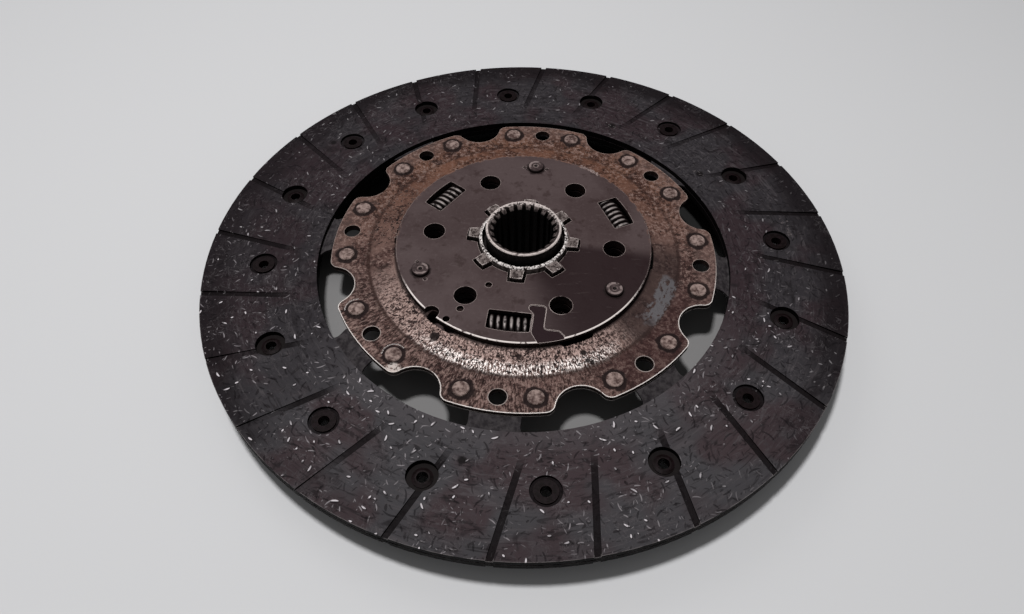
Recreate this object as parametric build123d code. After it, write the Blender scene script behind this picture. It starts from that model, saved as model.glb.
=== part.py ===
from build123d import *
import os
from math import asin, atan2, cos, degrees, hypot, radians, sin, sqrt, tan

# A sprung clutch disc. +Z is the hub axis, z = 0 is the hub's lower end, and the face that meets the
# pressure plate is upward. Lengths are in millimetres, angles in degrees anticlockwise from +X.

# --- driving dimensions ---------------------------------------------------------------------------
FACING_R = 120.0            # friction facings
FACING_BORE_R = 78.0
FACING_T = 2.05             # worn down from about 3.5 when new
FACE_HEIGHT = 14.5          # upper friction face above the hub's lower end

SEGMENT_T = 0.7             # cushion segments of spring sheet
SEGMENT_COUNT = 8
SEGMENT_R = 118.6
SEGMENT_GAP = 1.6           # between the pads of neighbours
SEGMENT_CORNER = 3.0
NECK_WIDTH = 17.1
NECK_STEP = 0.6             # how far the step down stays from the lobes and from the facings
FOOT_WIDTH = 31.6           # of the foot riveted under a lobe
FOOT_INNER_R = 60.2
FOOT_OUTER_R = 68.8

PLATE_T = 2.0               # drive plate
PLATE_R = 72.4
PLATE_RISE = 2.2            # its outer flange above the upper friction face
CREASE_R = 58.2             # where the flange bends up into the cone
SEAT_R = 39.8               # where the cone ends against the cover
PLATE_BORE_R = 23.5
SCALLOP_FLOOR_R = 64.2
SCALLOP_RADIUS = 9.0
SCALLOP_FLARE = 22.0
LOBE_CORNER = 3.4
LOBE_PHASE = 83.5
VENT_OUTER_R = 49.0         # slots in the cone, just under the cover's rim
VENT_INNER_R = 44.5
VENT_LENGTH = 12.4
VENT_CORNER = 1.6
LOBE_HOLE_R = 3.1
LOBE_CIRCLE_R = 66.7

COVER_T = 1.5
COVER_R = 47.8
COVER_RISE = 6.7            # cover's top above the upper friction face
NOTCH_TIP_GAP = 0.8         # cover's toothed opening round the hub's teeth
NOTCH_ROOT_GAP = 0.7
RECESS_DEPTH = 0.4          # sunk patch beside one window
RECESS_STRIP = 4.1
RECESS_FOOT = 7.5
RECESS_CORNER = 1.4
RIM_BREAK = 0.25            # the cover's broken upper edge
PIN_HOLES = [               # radius, pitch radius, angle: three small holes and the notch in the rim
    (1.3, 39.8, -123.0),
    (1.25, 25.4, -118.6),
    (1.3, 46.2, -124.6),
    (2.9, 47.4, -132.0),
]
STOP_PIT_R = 0.75           # shallow pits each side of a spacer bolt, left by its riveting tool
STOP_PIT_DEPTH = 0.5
STOP_PIT_REACH = 4.5
PITTED_BOLTS = 2
ACCESS_HOLE_R = 4.1
ACCESS_CIRCLE_R = 34.0
ACCESS_COUNT = 6
ACCESS_PHASE = 53.5

REAR_T = 1.5
REAR_R = 46.5

SPRING_COUNT = 3
SPRING_PHASE = 23.2
SPRING_CIRCLE_R = 38.5
SPRING_D = 10.0
SPRING_LENGTH = 15.2
SPRING_WIRE = 1.9
SPRING_TURNS = 6.0
SPRING_GROUND = 0.6         # share of a wire's thickness that the ground ends lose
WINDOW_WIDTH = 8.0          # radial width of the cover's spring windows
WINDOW_CORNER = 0.6

SPLINE_TEETH = 23
SPLINE_TIP_R = 11.05
SPLINE_ROOT_R = 12.55
SPLINE_GAP_TIP = 0.52       # share of the pitch that is open at the tips
SPLINE_GAP_ROOT = 0.40
SPLINE_MOUTH = 0.25         # how far the leading chamfer opens past the roots
COLLAR_R = 14.0
COLLAR_RISE = 13.3          # collar's rim above the upper friction face
COLLAR_BREAK = 0.3
MOAT_R = 15.5               # groove between the collar and the toothed crown
MOAT_DEPTH = 4.0
LIP_RISE = 8.9              # crown's lip above the upper friction face
LIP_BREAK = 0.4
BARREL_R = 16.5
BARREL_BREAK = 1.0
HUB_TEETH = 8
HUB_TOOTH_R = 20.5
HUB_TOOTH_WIDTH = 4.4       # at the tip
HUB_TOOTH_BASE = 5.3        # at the barrel
HUB_TOOTH_RISE = 8.1        # top of the teeth above the upper friction face
HUB_TEETH_PHASE = 83.0
SHOULDER_R = 22.3
SHOULDER_T = 1.5
TURN_STOP = 2.5             # hub turn each way before a tooth meets its notch

FLANGE_T = 2.4              # hub flange, which carries the springs' push
FLANGE_R = 41.5
BAY_GAP = 0.6
BAY_CORNER = 0.8

BOLT_CIRCLE_R = 40.5        # spacer bolts that clamp the plates
BOLT_PHASE = 83.5
BOLT_BODY_R = 3.6
BOLT_SHANK_R = 2.2
BOLT_HEAD_R = 3.2
BOLT_HEAD_H = 1.3
BOLT_HEAD_BREAK = 0.3
BOLT_DIMPLE_R = 0.8
BOLT_DIMPLE_DEPTH = 0.5
BOLT_FOOT_R = 3.2
BOLT_FOOT_H = 1.2

RIVET_HOLE_COUNT = 16       # stepped holes in each facing
RIVET_CIRCLE_R = 98.2
RIVET_HOLE_R = 5.2
RIVET_HEAD_R = 3.95
RIVET_SHANK_R = 2.5
RIVET_BORE_R = 1.9
RIVET_HEAD_H = 0.8
RIVET_SUNK = 0.35           # head under the friction face
ROLLED_END_R = 3.4
ROLLED_END_H = 0.7
ROLLED_END_FLARE = 0.5

PLATE_RIVET_CIRCLE_R = 66.6     # rivets that join segments to the drive plate
PLATE_RIVET_ANGLE = 10.76       # each side of a lobe's middle
PLATE_RIVET_SHANK_R = 2.2
PLATE_RIVET_HEAD_R = 2.9
PLATE_RIVET_HEAD_H = 0.78
PLATE_RIVET_BREAK = 0.3
PLATE_RIVET_FOOT_R = 3.9
PLATE_RIVET_FOOT_H = 1.2
PLATE_RIVET_FOOT_BREAK = 0.6

GROOVE_COUNT = 24
GROOVE_PHASE = 11.0         # where a groove leaves the rim
GROOVE_OFFSET = 24.0        # a groove's line passes this far from the axis
GROOVE_WIDTH = 2.2
GROOVE_DEPTH = 0.75         # at the rim, running out to nothing inward
GROOVE_END_R = 83.0

FRICTION_WASHER_R = 29.0
FRICTION_WASHER_T = 0.7
LOWER_WASHER_T = 1.0
SPRING_WASHER_T = 0.7
WASHER_GAP = 0.4            # between the lower washers and the hub's shoulder
BUSH_WALL = 2.9             # the bush between the hub's barrel and the rear plate
BUSH_PROUD = 0.8            # how far it stands out under the rear plate

FIT = 0.05                  # clearance of pieces that fit into each other
PLAY = 0.1                  # clearance of faces that slide past each other
PAST = 1.0                  # how far a cutting tool runs past what it cuts

# --- sizes that follow ----------------------------------------------------------------------------
FACE_TOP = FACE_HEIGHT
PAD_TOP = FACE_TOP - FACING_T
PAD_BOTTOM = PAD_TOP - SEGMENT_T
FACE_BOTTOM = PAD_BOTTOM - FACING_T
PLATE_TOP = FACE_TOP + PLATE_RISE
PLATE_BOTTOM = PLATE_TOP - PLATE_T
COVER_TOP = FACE_TOP + COVER_RISE
COVER_BOTTOM = COVER_TOP - COVER_T
SEAT_BOTTOM = COVER_BOTTOM - PLATE_T
FLANGE_TOP = SEAT_BOTTOM - FRICTION_WASHER_T - PLAY
FLANGE_BOTTOM = FLANGE_TOP - FLANGE_T
SPRING_Z = (FLANGE_TOP + FLANGE_BOTTOM) / 2
REAR_BOTTOM = 2 * SPRING_Z - COVER_TOP      # the damper is alike above and below its springs
REAR_TOP = REAR_BOTTOM + REAR_T
REAR_BORE_R = BARREL_R + BUSH_WALL
TOOTH_TOP = FACE_TOP + HUB_TOOTH_RISE
LIP_TOP = FACE_TOP + LIP_RISE
COLLAR_TOP = FACE_TOP + COLLAR_RISE
CONE_SLOPE = (COVER_BOTTOM - PLATE_TOP) / (CREASE_R - SEAT_R)


# --- small tools ----------------------------------------------------------------------------------
def polar(radius, angle, z=0.0):
    return (radius * cos(radians(angle)), radius * sin(radians(angle)), z)


def angles(count, phase):
    return [phase + 360.0 / count * i for i in range(count)]


def disc(radius, z0, z1, at=(0, 0)):
    """A solid cylinder from z0 to z1."""
    return Pos(at[0], at[1], z0) * extrude(Circle(radius), z1 - z0)


def ring(outer, inner, z0, z1, at=(0, 0)):
    return Pos(at[0], at[1], z0) * extrude(Circle(outer) - Circle(inner), z1 - z0)


def discs(radius, circle_r, turns, z0, z1):
    """Equal cylinders on a pitch circle."""
    return [disc(radius, z0, z1, polar(circle_r, a)[:2]) for a in turns]


def turned(points):
    """A body of revolution about Z from (r, z) corners."""
    profile = Plane.XZ * make_face(Polyline(*points, close=True))
    return revolve(profile, Axis.Z)


def sector(outer, inner, half_angle):
    """A flat piece of ring about +X."""
    reach = outer * 1.6
    wedge = Polygon(
        (0, 0),
        (reach * cos(radians(half_angle)), -reach * sin(radians(half_angle))),
        (reach * cos(radians(half_angle)), reach * sin(radians(half_angle))),
        align=None,
    )
    return (Circle(outer) - Circle(inner)) & wedge


def one(shape):
    """The single solid of a result."""
    return shape.solids()[0]


def off_axis(x, y):
    return abs(y) > 1.0


def round_upright(body, radius, chosen):
    """Fillets the upright edges whose (x, y) passes the test."""
    edges = [e for e in body.edges().filter_by(Axis.Z) if chosen(e.center().X, e.center().Y)]
    return fillet(edges, radius)


# --- friction facings -----------------------------------------------------------------------------
def groove_cutter(angle):
    """A straight groove under z = 0: deepest at the rim, its floor climbing to nothing inward."""
    rim = sqrt(FACING_R**2 - GROOVE_OFFSET**2)
    end = sqrt(GROOVE_END_R**2 - GROOVE_OFFSET**2)
    slope = GROOVE_DEPTH / (rim - end)
    side = Polyline(
        (end - PAST, PAST * slope),
        (rim + 3 * PAST, -GROOVE_DEPTH - 3 * PAST * slope),
        (rim + 3 * PAST, PAST),
        (end - PAST, PAST),
        close=True,
    )
    slot = extrude(Plane.XZ * make_face(side), GROOVE_WIDTH / 2, both=True)
    lean = degrees(asin(GROOVE_OFFSET / FACING_R))
    return Rot(0, 0, angle - lean) * Pos(0, GROOVE_OFFSET, 0) * slot


def facing(head_turns, open_turns, facing_up=True):
    """One facing with its wear face at z = 0: beds for the rivet heads, and open holes between them."""
    bed = RIVET_SUNK + RIVET_HEAD_H
    cuts = discs(RIVET_HOLE_R, RIVET_CIRCLE_R, head_turns, -bed, PAST)
    cuts += discs(RIVET_SHANK_R + FIT, RIVET_CIRCLE_R, head_turns, -FACING_T - PAST, 0)
    cuts += discs(RIVET_HOLE_R, RIVET_CIRCLE_R, open_turns, -FACING_T - PAST, PAST)
    cuts += [groove_cutter(a) for a in angles(GROOVE_COUNT, GROOVE_PHASE)]
    body = one(ring(FACING_R, FACING_BORE_R, -FACING_T, 0) - cuts)
    if facing_up:
        return Pos(0, 0, FACE_TOP) * body
    return Pos(0, 0, FACE_BOTTOM) * mirror(body, Plane.XY)


def facing_rivet(angle, face, direction):
    """A hollow rivet: head sunk in one facing, end rolled over behind the segment."""
    head = RIVET_SUNK * -direction
    bed = head - direction * RIVET_HEAD_H
    behind = -direction * (FACING_T + SEGMENT_T)
    tail = behind - direction * ROLLED_END_H
    corners = [
        (RIVET_BORE_R, head),
        (RIVET_HEAD_R, head),
        (RIVET_HEAD_R, bed),
        (RIVET_SHANK_R, bed),
        (RIVET_SHANK_R, behind),
        (ROLLED_END_R, behind),
        (ROLLED_END_R, (behind + tail) / 2),
        (RIVET_BORE_R + ROLLED_END_FLARE, tail),
        (RIVET_BORE_R, tail),
    ]
    x, y, _ = polar(RIVET_CIRCLE_R, angle)
    return Pos(x, y, face) * turned(corners)


rivet_turns = angles(RIVET_HOLE_COUNT, LOBE_PHASE + 180.0 / RIVET_HOLE_COUNT)
upper_turns = rivet_turns[0::2]
lower_turns = rivet_turns[1::2]


# --- cushion segments -----------------------------------------------------------------------------
def segment_blank():
    """An upright prism of a segment's outline about +X: foot, neck, and pad between the facings."""
    half_pad = 180.0 / SEGMENT_COUNT - degrees(SEGMENT_GAP / 2 / FACING_BORE_R)
    pad = sector(SEGMENT_R, FACING_BORE_R + NECK_STEP, half_pad)
    foot_length = FOOT_OUTER_R - FOOT_INNER_R
    foot = Pos(FOOT_INNER_R + foot_length / 2, 0) * Rectangle(foot_length, FOOT_WIDTH)
    neck_length = FACING_BORE_R + 2 * SEGMENT_CORNER - FOOT_INNER_R
    neck = Pos(FOOT_INNER_R + neck_length / 2, 0) * Rectangle(neck_length, NECK_WIDTH)
    blank = extrude(pad + foot + neck, COVER_TOP)
    return round_upright(blank, SEGMENT_CORNER, off_axis)


def segment_sheet():
    """All the segments' sheet as one turned ring, with the step down into the facings."""
    step_in = PLATE_R + NECK_STEP
    step_out = FACING_BORE_R - NECK_STEP
    slant = SEGMENT_T * tan(atan2(PLATE_BOTTOM - PAD_TOP, step_out - step_in) / 2)
    top = [
        (FOOT_INNER_R - PAST, PLATE_BOTTOM),
        (step_in, PLATE_BOTTOM),
        (step_out, PAD_TOP),
        (SEGMENT_R + PAST, PAD_TOP),
    ]
    under = [
        (SEGMENT_R + PAST, PAD_BOTTOM),
        (step_out - slant, PAD_BOTTOM),
        (step_in - slant, PLATE_BOTTOM - SEGMENT_T),
        (FOOT_INNER_R - PAST, PLATE_BOTTOM - SEGMENT_T),
    ]
    return turned(top + under)


def cushion_segments():
    low, high = PAD_BOTTOM - PAST, COVER_TOP
    holes = discs(LOBE_HOLE_R, LOBE_CIRCLE_R, (0,), low, high)
    pair = (-PLATE_RIVET_ANGLE, PLATE_RIVET_ANGLE)
    holes += discs(PLATE_RIVET_SHANK_R + FIT, PLATE_RIVET_CIRCLE_R, pair, low, high)
    pair = (-180.0 / RIVET_HOLE_COUNT, 180.0 / RIVET_HOLE_COUNT)
    holes += discs(RIVET_SHANK_R + FIT, RIVET_CIRCLE_R, pair, low, high)
    blank = one((segment_sheet() & segment_blank()) - holes)
    return [Rot(0, 0, a) * blank for a in angles(SEGMENT_COUNT, LOBE_PHASE)]


# --- drive plate ----------------------------------------------------------------------------------
def scallop():
    """The rounded bay between two lobes, about +X."""
    centre = SCALLOP_FLOOR_R + SCALLOP_RADIUS
    lean = radians(SCALLOP_FLARE)
    start = (centre - SCALLOP_RADIUS * sin(lean), SCALLOP_RADIUS * cos(lean))
    run = PLATE_R - SCALLOP_FLOOR_R + SCALLOP_RADIUS
    end = (start[0] + run * cos(lean), start[1] + run * sin(lean))
    flare = Polygon(start, end, (end[0], -end[1]), (start[0], -start[1]), align=None)
    return Pos(centre, 0) * Circle(SCALLOP_RADIUS) + flare


def window(width, length, z0, z1):
    """A spring window about +X, with a straight inner edge and an outer edge that follows the rim."""
    inner = SPRING_CIRCLE_R - width / 2
    outer = sqrt((SPRING_CIRCLE_R + width / 2) ** 2 + (length / 2) ** 2)
    shape = Pos(inner + width, 0) * Rectangle(width * 2, length) & Circle(outer)
    body = round_upright(extrude(shape, z1 - z0), WINDOW_CORNER, off_axis)
    return Pos(0, 0, z0) * body


def on_plate_rim(x, y):
    return hypot(x, y) > PLATE_R - FIT


def cone_slant():
    """How far the cone's underside is shifted inward, so that the sheet keeps its thickness."""
    return PLATE_T * tan(atan2(COVER_BOTTOM - PLATE_TOP, CREASE_R - SEAT_R) / 2)


def drive_plate():
    outline = Circle(PLATE_R) - [Rot(0, 0, a) * scallop() for a in angles(SEGMENT_COUNT, 0.0)]
    blank = round_upright(extrude(outline, COVER_TOP), LOBE_CORNER, on_plate_rim)
    blank = Rot(0, 0, LOBE_PHASE + 180.0 / SEGMENT_COUNT) * blank
    top = [
        (PLATE_R + PAST, PLATE_TOP),
        (CREASE_R, PLATE_TOP),
        (SEAT_R, COVER_BOTTOM),
        (PLATE_BORE_R, COVER_BOTTOM),
    ]
    under = [
        (PLATE_BORE_R, SEAT_BOTTOM),
        (SEAT_R - cone_slant(), SEAT_BOTTOM),
        (CREASE_R - cone_slant(), PLATE_BOTTOM),
        (PLATE_R + PAST, PLATE_BOTTOM),
    ]
    pressed = turned(top + under) & blank
    low, high = PLATE_BOTTOM - PAST, COVER_TOP
    cuts = discs(LOBE_HOLE_R, LOBE_CIRCLE_R, angles(SEGMENT_COUNT, LOBE_PHASE), low, high)
    for a in angles(SEGMENT_COUNT, LOBE_PHASE):
        pair = (a - PLATE_RIVET_ANGLE, a + PLATE_RIVET_ANGLE)
        cuts += discs(PLATE_RIVET_SHANK_R + FIT, PLATE_RIVET_CIRCLE_R, pair, low, high)
    cuts += discs(ACCESS_HOLE_R, ACCESS_CIRCLE_R, angles(ACCESS_COUNT, ACCESS_PHASE), low, high)
    cuts += discs(BOLT_SHANK_R + FIT, BOLT_CIRCLE_R, angles(SPRING_COUNT, BOLT_PHASE), low, high)
    for a in angles(SPRING_COUNT, SPRING_PHASE):
        cuts.append(Rot(0, 0, a) * window(SPRING_D + 4 * PLAY, SPRING_LENGTH + 2 * FIT, low, high))
    for a in angles(ACCESS_COUNT, ACCESS_PHASE):
        cuts.append(Rot(0, 0, a) * vent_slot(low, high))
    return one(pressed - cuts)


def vent_slot(z0, z1):
    """A shallow slot in the drive plate whose outer edge shows just past the cover."""
    square = Pos(VENT_INNER_R + VENT_LENGTH / 2, 0) * Rectangle(VENT_LENGTH, VENT_LENGTH)
    shape = square & Circle(VENT_OUTER_R)
    body = round_upright(extrude(shape, z1 - z0), VENT_CORNER, off_axis)
    return Pos(0, 0, z0) * body


# --- hub ------------------------------------------------------------------------------------------
def tooth(tip_r, tip_width, base_width, root_r):
    """One external tooth about +X, tapering to its tip and rooted in the ring it stands on."""
    root = root_r - base_width / 4
    shape = Polygon(
        (root, -base_width / 2),
        (tip_r, -tip_width / 2),
        (tip_r, tip_width / 2),
        (root, base_width / 2),
        align=None,
    )
    return shape & Circle(tip_r)


def toothed_outline(root_r, spread=0.0, tip_gap=0.0):
    """The hub's crown of teeth from above. spread widens each tooth, and tip_gap lengthens it."""
    shape = tooth(HUB_TOOTH_R + tip_gap, HUB_TOOTH_WIDTH + spread, HUB_TOOTH_BASE + spread, root_r)
    return Circle(root_r) + [Rot(0, 0, a) * shape for a in angles(HUB_TEETH, HUB_TEETH_PHASE)]


def spline_gap():
    """The space between two spline teeth, about +X."""
    half_pitch = radians(180.0 / SPLINE_TEETH)
    tip_half = half_pitch * SPLINE_GAP_TIP
    root_half = half_pitch * SPLINE_GAP_ROOT
    inner = SPLINE_TIP_R - PAST
    return Polygon(
        (inner, -inner * tip_half),
        (SPLINE_TIP_R, -SPLINE_TIP_R * tip_half),
        (SPLINE_ROOT_R, -SPLINE_ROOT_R * root_half),
        (SPLINE_ROOT_R, SPLINE_ROOT_R * root_half),
        (SPLINE_TIP_R, SPLINE_TIP_R * tip_half),
        (inner, inner * tip_half),
        align=None,
    )


def hub():
    """Splined barrel with a shoulder, a toothed crown, and a collar in a groove inside the crown."""
    shoulder = FLANGE_BOTTOM - SHOULDER_T
    barrel = turned(
        [
            (0, 0),
            (BARREL_R - BARREL_BREAK, 0),
            (BARREL_R, BARREL_BREAK),
            (BARREL_R, shoulder),
            (SHOULDER_R, shoulder),
            (SHOULDER_R, FLANGE_BOTTOM),
            (BARREL_R, FLANGE_BOTTOM),
            (BARREL_R, LIP_TOP - LIP_BREAK),
            (BARREL_R - LIP_BREAK, LIP_TOP),
            (MOAT_R, LIP_TOP),
            (MOAT_R, LIP_TOP - MOAT_DEPTH),
            (COLLAR_R, LIP_TOP - MOAT_DEPTH),
            (COLLAR_R, COLLAR_TOP - COLLAR_BREAK),
            (COLLAR_R - COLLAR_BREAK, COLLAR_TOP),
            (0, COLLAR_TOP),
        ]
    )
    crown = toothed_outline(BARREL_R - FIT) - Circle(MOAT_R)
    body = barrel + Pos(0, 0, FLANGE_BOTTOM) * extrude(crown, TOOTH_TOP - FLANGE_BOTTOM)
    bore = Circle(SPLINE_TIP_R) + [Rot(0, 0, a) * spline_gap() for a in angles(SPLINE_TEETH, 90.0)]
    mouth = SPLINE_ROOT_R + SPLINE_MOUTH
    lead = mouth - SPLINE_TIP_R
    cone = [(0, PAST), (mouth + PAST, PAST), (SPLINE_TIP_R, -lead), (0, -lead)]
    upper_lead = turned([(r, COLLAR_TOP + z) for r, z in cone])
    lower_lead = turned([(r, -z) for r, z in cone])
    return one(body - extrude(bore, COLLAR_TOP) - upper_lead - lower_lead)


def bay(floor_r, width, corner):
    """An open bay in the flange's edge, about +X."""
    return Pos(floor_r + FLANGE_R / 2, 0) * RectangleRounded(FLANGE_R, width, corner)


def hub_flange():
    """The plate on the hub's teeth: open bays for the springs and for the spacer bolts."""
    shape = Circle(FLANGE_R) - toothed_outline(BARREL_R + FIT, 2 * FIT, FIT)
    spring_bay = bay(SPRING_CIRCLE_R - SPRING_D / 2 - BAY_GAP, SPRING_LENGTH + 4 * PLAY, BAY_CORNER)
    reach = BOLT_CIRCLE_R * sin(radians(TURN_STOP)) + BOLT_BODY_R + BAY_GAP
    bolt_bay = bay(BOLT_CIRCLE_R - BOLT_BODY_R - BAY_GAP, 2 * reach, BAY_CORNER)
    shape -= [Rot(0, 0, a) * spring_bay for a in angles(SPRING_COUNT, SPRING_PHASE)]
    shape -= [Rot(0, 0, a) * bolt_bay for a in angles(SPRING_COUNT, BOLT_PHASE)]
    for a in angles(ACCESS_COUNT, ACCESS_PHASE):
        shape -= Pos(*polar(ACCESS_CIRCLE_R, a)) * Circle(ACCESS_HOLE_R)
    return one(Pos(0, 0, FLANGE_BOTTOM) * extrude(shape, FLANGE_T))


# --- cover and rear plate -------------------------------------------------------------------------
def recess():
    """The boot-shaped patch beside one window, sunk into the cover and open at its rim, about +X."""
    half = RECESS_STRIP / 2
    start = SPRING_LENGTH / 2 + BAY_GAP         # beside the window's end
    end = start + RECESS_STRIP
    toe = end + RECESS_FOOT
    window_inner = SPRING_CIRCLE_R - WINDOW_WIDTH / 2
    window_outer = SPRING_CIRCLE_R + WINDOW_WIDTH / 2
    head = window_inner - RECESS_STRIP
    instep = SPRING_CIRCLE_R + half
    shape = Polygon(
        (head, start - half),
        (head, end),
        (instep, end),
        (instep, toe - half),
        (instep + half, toe),
        (COVER_R + PAST, toe),
        (COVER_R + PAST, end),
        (window_outer, start),
        (window_inner, start),
        (head + half, start - half),
        align=None,
    )
    patch = extrude(shape, RECESS_DEPTH + PAST, dir=(0, 0, 1))
    return Pos(0, 0, COVER_TOP - RECESS_DEPTH) * round_upright(patch, RECESS_CORNER, inside_cover)


def inside_cover(x, y):
    return x < COVER_R


def stop_pits(angle):
    """The two shallow pits beside one spacer bolt."""
    turn = degrees(STOP_PIT_REACH / BOLT_CIRCLE_R)
    pair = (angle - turn, angle + turn)
    return discs(STOP_PIT_R, BOLT_CIRCLE_R, pair, COVER_TOP - STOP_PIT_DEPTH, COVER_TOP + PAST)


def cover_plate():
    low, high = COVER_BOTTOM - PAST, COVER_TOP + PAST
    body = disc(COVER_R, COVER_BOTTOM, COVER_TOP)
    body = chamfer(body.edges().group_by(Axis.Z)[-1], RIM_BREAK)
    spread = 2 * HUB_TOOTH_R * sin(radians(TURN_STOP))
    notches = toothed_outline(BARREL_R + NOTCH_ROOT_GAP, spread, NOTCH_TIP_GAP)
    cuts = [Pos(0, 0, low) * extrude(notches, high - low)]
    cuts += discs(ACCESS_HOLE_R, ACCESS_CIRCLE_R, angles(ACCESS_COUNT, ACCESS_PHASE), low, high)
    cuts += discs(BOLT_SHANK_R + FIT, BOLT_CIRCLE_R, angles(SPRING_COUNT, BOLT_PHASE), low, high)
    for a in angles(SPRING_COUNT, SPRING_PHASE):
        cuts.append(Rot(0, 0, a) * window(WINDOW_WIDTH, SPRING_LENGTH + 2 * FIT, low, high))
    for radius, circle_r, angle in PIN_HOLES:
        cuts += discs(radius, circle_r, (angle,), low, high)
    for a in angles(SPRING_COUNT, BOLT_PHASE)[:PITTED_BOLTS]:
        cuts += stop_pits(a)
    cuts.append(Rot(0, 0, SPRING_PHASE - 360.0 / SPRING_COUNT) * recess())
    return one(body - cuts)


def rear_plate():
    low, high = REAR_BOTTOM - PAST, REAR_TOP + PAST
    body = ring(REAR_R, REAR_BORE_R, REAR_BOTTOM, REAR_TOP)
    cuts = discs(ACCESS_HOLE_R, ACCESS_CIRCLE_R, angles(ACCESS_COUNT, ACCESS_PHASE), low, high)
    cuts += discs(BOLT_SHANK_R + FIT, BOLT_CIRCLE_R, angles(SPRING_COUNT, BOLT_PHASE), low, high)
    for a in angles(SPRING_COUNT, SPRING_PHASE):
        cuts.append(Rot(0, 0, a) * window(WINDOW_WIDTH, SPRING_LENGTH + 2 * FIT, low, high))
    return one(body - cuts)


# --- damper pieces --------------------------------------------------------------------------------
def damper_spring():
    """A coil spring along Y with its middle on +X, its ends ground flat."""
    mean = (SPRING_D - SPRING_WIRE) / 2
    pitch = (SPRING_LENGTH - SPRING_WIRE * SPRING_GROUND) / SPRING_TURNS
    wound = SPRING_LENGTH + SPRING_WIRE
    path = Helix(pitch, wound, mean)
    section = Plane(origin=path @ 0, z_dir=path % 0) * Circle(SPRING_WIRE / 2)
    coil = Pos(0, 0, -wound / 2) * sweep(section, path, is_frenet=True)
    coil = one(coil & Box(2 * SPRING_D, 2 * SPRING_D, SPRING_LENGTH))
    return Pos(SPRING_CIRCLE_R, 0, SPRING_Z) * Rot(90, 0, 0) * coil


def spacer_bolt(angle):
    """Body between the plates, shank through them, and a riveted head on each side."""
    top = COVER_TOP + BOLT_HEAD_H
    bottom = REAR_BOTTOM - BOLT_FOOT_H
    cone_end = SEAT_R - cone_slant()
    under_cone = SEAT_BOTTOM - (BOLT_CIRCLE_R + BOLT_BODY_R - cone_end) * CONE_SLOPE - FIT
    corners = [
        (0, bottom),
        (BOLT_FOOT_R - BOLT_FOOT_H / 2, bottom),
        (BOLT_FOOT_R, bottom + BOLT_FOOT_H / 2),
        (BOLT_FOOT_R, REAR_BOTTOM),
        (BOLT_SHANK_R, REAR_BOTTOM),
        (BOLT_SHANK_R, REAR_TOP),
        (BOLT_BODY_R, REAR_TOP),
        (BOLT_BODY_R, under_cone),
        (BOLT_SHANK_R, under_cone),
        (BOLT_SHANK_R, COVER_TOP),
        (BOLT_HEAD_R, COVER_TOP),
        (BOLT_HEAD_R, top - BOLT_HEAD_BREAK),
        (BOLT_HEAD_R - BOLT_HEAD_BREAK, top),
        (BOLT_DIMPLE_R, top),
        (0, top - BOLT_DIMPLE_DEPTH),
    ]
    x, y, _ = polar(BOLT_CIRCLE_R, angle)
    return Pos(x, y, 0) * turned(corners)


def plate_rivet(angle):
    """A solid rivet through a lobe and a segment's foot."""
    top = PLATE_TOP + PLATE_RIVET_HEAD_H
    seat = PLATE_BOTTOM - SEGMENT_T
    bottom = seat - PLATE_RIVET_FOOT_H
    corners = [
        (0, bottom),
        (PLATE_RIVET_FOOT_R - PLATE_RIVET_FOOT_BREAK, bottom),
        (PLATE_RIVET_FOOT_R, bottom + PLATE_RIVET_FOOT_BREAK),
        (PLATE_RIVET_FOOT_R, seat),
        (PLATE_RIVET_SHANK_R, seat),
        (PLATE_RIVET_SHANK_R, PLATE_TOP),
        (PLATE_RIVET_HEAD_R, PLATE_TOP),
        (PLATE_RIVET_HEAD_R, top - PLATE_RIVET_BREAK),
        (PLATE_RIVET_HEAD_R - PLATE_RIVET_BREAK, top),
        (0, top),
    ]
    x, y, _ = polar(PLATE_RIVET_CIRCLE_R, angle)
    return Pos(x, y, 0) * turned(corners)


def upper_friction_washer():
    return one(ring(FRICTION_WASHER_R, PLATE_BORE_R, SEAT_BOTTOM - FRICTION_WASHER_T, SEAT_BOTTOM))


def lower_friction_washer():
    top = FLANGE_BOTTOM - PLAY
    return one(ring(FRICTION_WASHER_R, SHOULDER_R + WASHER_GAP, top - LOWER_WASHER_T, top))


def spring_washer():
    """A coned steel washer that presses the friction washer against the flange."""
    high = FLANGE_BOTTOM - PLAY - LOWER_WASHER_T
    outer, inner = FRICTION_WASHER_R, SHOULDER_R + 2 * WASHER_GAP
    corners = [
        (outer, REAR_TOP),
        (outer, REAR_TOP + SPRING_WASHER_T),
        (inner, high),
        (inner, high - SPRING_WASHER_T),
    ]
    return one(turned(corners))


def guide_bush():
    """The bush in the rear plate that centres the hub."""
    lip_top = FLANGE_BOTTOM - SHOULDER_T - 3 * PLAY
    lip_r = SHOULDER_R - 3 * PLAY
    corners = [
        (BARREL_R + FIT, REAR_BOTTOM - BUSH_PROUD),
        (REAR_BORE_R - FIT, REAR_BOTTOM - BUSH_PROUD),
        (REAR_BORE_R - FIT, REAR_TOP),
        (lip_r, REAR_TOP),
        (lip_r, lip_top),
        (BARREL_R + FIT, lip_top),
    ]
    return one(turned(corners))


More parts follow.
